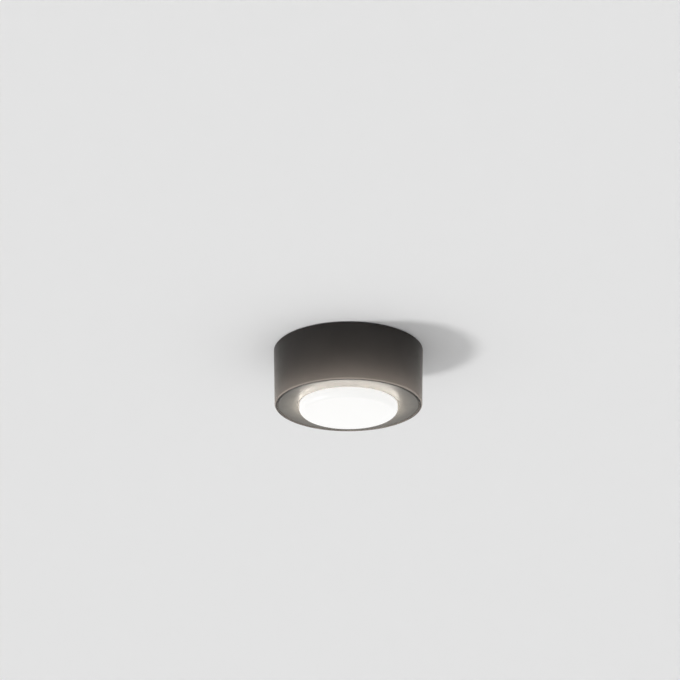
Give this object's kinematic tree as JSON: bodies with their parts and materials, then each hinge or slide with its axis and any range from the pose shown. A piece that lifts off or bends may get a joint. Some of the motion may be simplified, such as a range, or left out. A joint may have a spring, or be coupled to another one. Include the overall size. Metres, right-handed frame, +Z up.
{
  "type": "ceiling spotlight",
  "caption": "Round surface-mounted ceiling spotlight: a dark drum housing with a flat front ring round a protruding twist-in disc lamp, on a ceiling plate with terminals.",
  "frame": {"origin": "centre of the ceiling plate's upper face, which lies on the ceiling", "axes": "+Z up into the ceiling along the drum's axis; the light shines along -Z; +X along the two screw slots"},
  "size_m": [0.114, 0.114, 0.0516],
  "materials": {
    "housing_paint": "dark satin powder coat on aluminium",
    "ring_paint": "satin metallic paint on aluminium",
    "plate_steel": "galvanised sheet",
    "spring_steel": "bright spring strip",
    "screw_steel": "zinc-plated",
    "post_steel": "zinc-plated, turned",
    "grommet_rubber": "matt black rubber",
    "holder_plastic": "moulded heat-resistant plastic",
    "terminal_plastic": "moulded polyamide",
    "button_orange": "moulded, smooth",
    "contact_brass": "bright brass",
    "lug_tin": "tinned",
    "earth_insulation": "green and yellow sleeving",
    "live_insulation": "brown sleeving",
    "neutral_insulation": "blue sleeving",
    "lamp_plastic": "white moulded plastic",
    "heat_sink_aluminium": "pressed sheet",
    "board_white": "white solder mask on aluminium",
    "chip_phosphor": "yellow phosphor",
    "diffuser_opal": "opal, lit from inside",
    "board_green": "green solder mask",
    "component_black": "moulded",
    "choke_ferrite": "ferrite"
  },
  "bodies": {
    "base": {"ceiling_plate": "plate_steel", "cable_grommet": "grommet_rubber", "spring_clips": "spring_steel", "clip_rivets": "screw_steel", "holder_posts": "post_steel", "holder_screws": "screw_steel", "lamp_holder_body": "holder_plastic", "lamp_holder_cover": "holder_plastic", "holder_contacts": "contact_brass", "terminal_block": "terminal_plastic", "terminal_clamps": "spring_steel", "terminal_screws": "screw_steel", "earth_screw": "contact_brass", "earth_washer": "contact_brass", "earth_lug": "lug_tin", "earth_lead": "earth_insulation", "live_lead": "live_insulation", "neutral_lead": "neutral_insulation"},
    "housing": {"housing": "housing_paint", "front_ring": "ring_paint", "ring_screws": "screw_steel"},
    "lamp": {"lamp_base": "lamp_plastic", "lamp_pins": "contact_brass", "heat_sink": "heat_sink_aluminium", "led_board": "board_white", "led_chips": "chip_phosphor", "lamp_screws": "screw_steel", "diffuser": "diffuser_opal", "driver_board": "board_green", "driver_capacitor": "component_black", "driver_choke": "choke_ferrite", "driver_chips": "component_black", "led_leads": "live_insulation"},
    "button_earth": {"release_button_earth": "button_orange"},
    "button_neutral": {"release_button_neutral": "button_orange"},
    "button_live": {"release_button_live": "button_orange"}
  },
  "joints": [
    {"name": "housing_pull", "type": "slide", "parent": "base", "child": "housing", "axis": [0, 0, -1], "range_m": [0, 0.055], "deforming": ["spring_clips"]},
    {"name": "lamp_twist", "type": "hinge", "parent": "base", "child": "lamp", "pos_m": [0, 0, -0.0338], "axis": [0, 0, 1], "range_deg": [-20, 0]},
    {"name": "button_earth_press", "type": "slide", "parent": "base", "child": "button_earth", "axis": [0, 0, 1], "range_m": [0, 0.0012], "stiffness_N_per_m": 500},
    {"name": "button_neutral_press", "type": "slide", "parent": "base", "child": "button_neutral", "axis": [0, 0, 1], "range_m": [0, 0.0012], "stiffness_N_per_m": 500},
    {"name": "button_live_press", "type": "slide", "parent": "base", "child": "button_live", "axis": [0, 0, 1], "range_m": [0, 0.0012], "stiffness_N_per_m": 500}
  ]
}
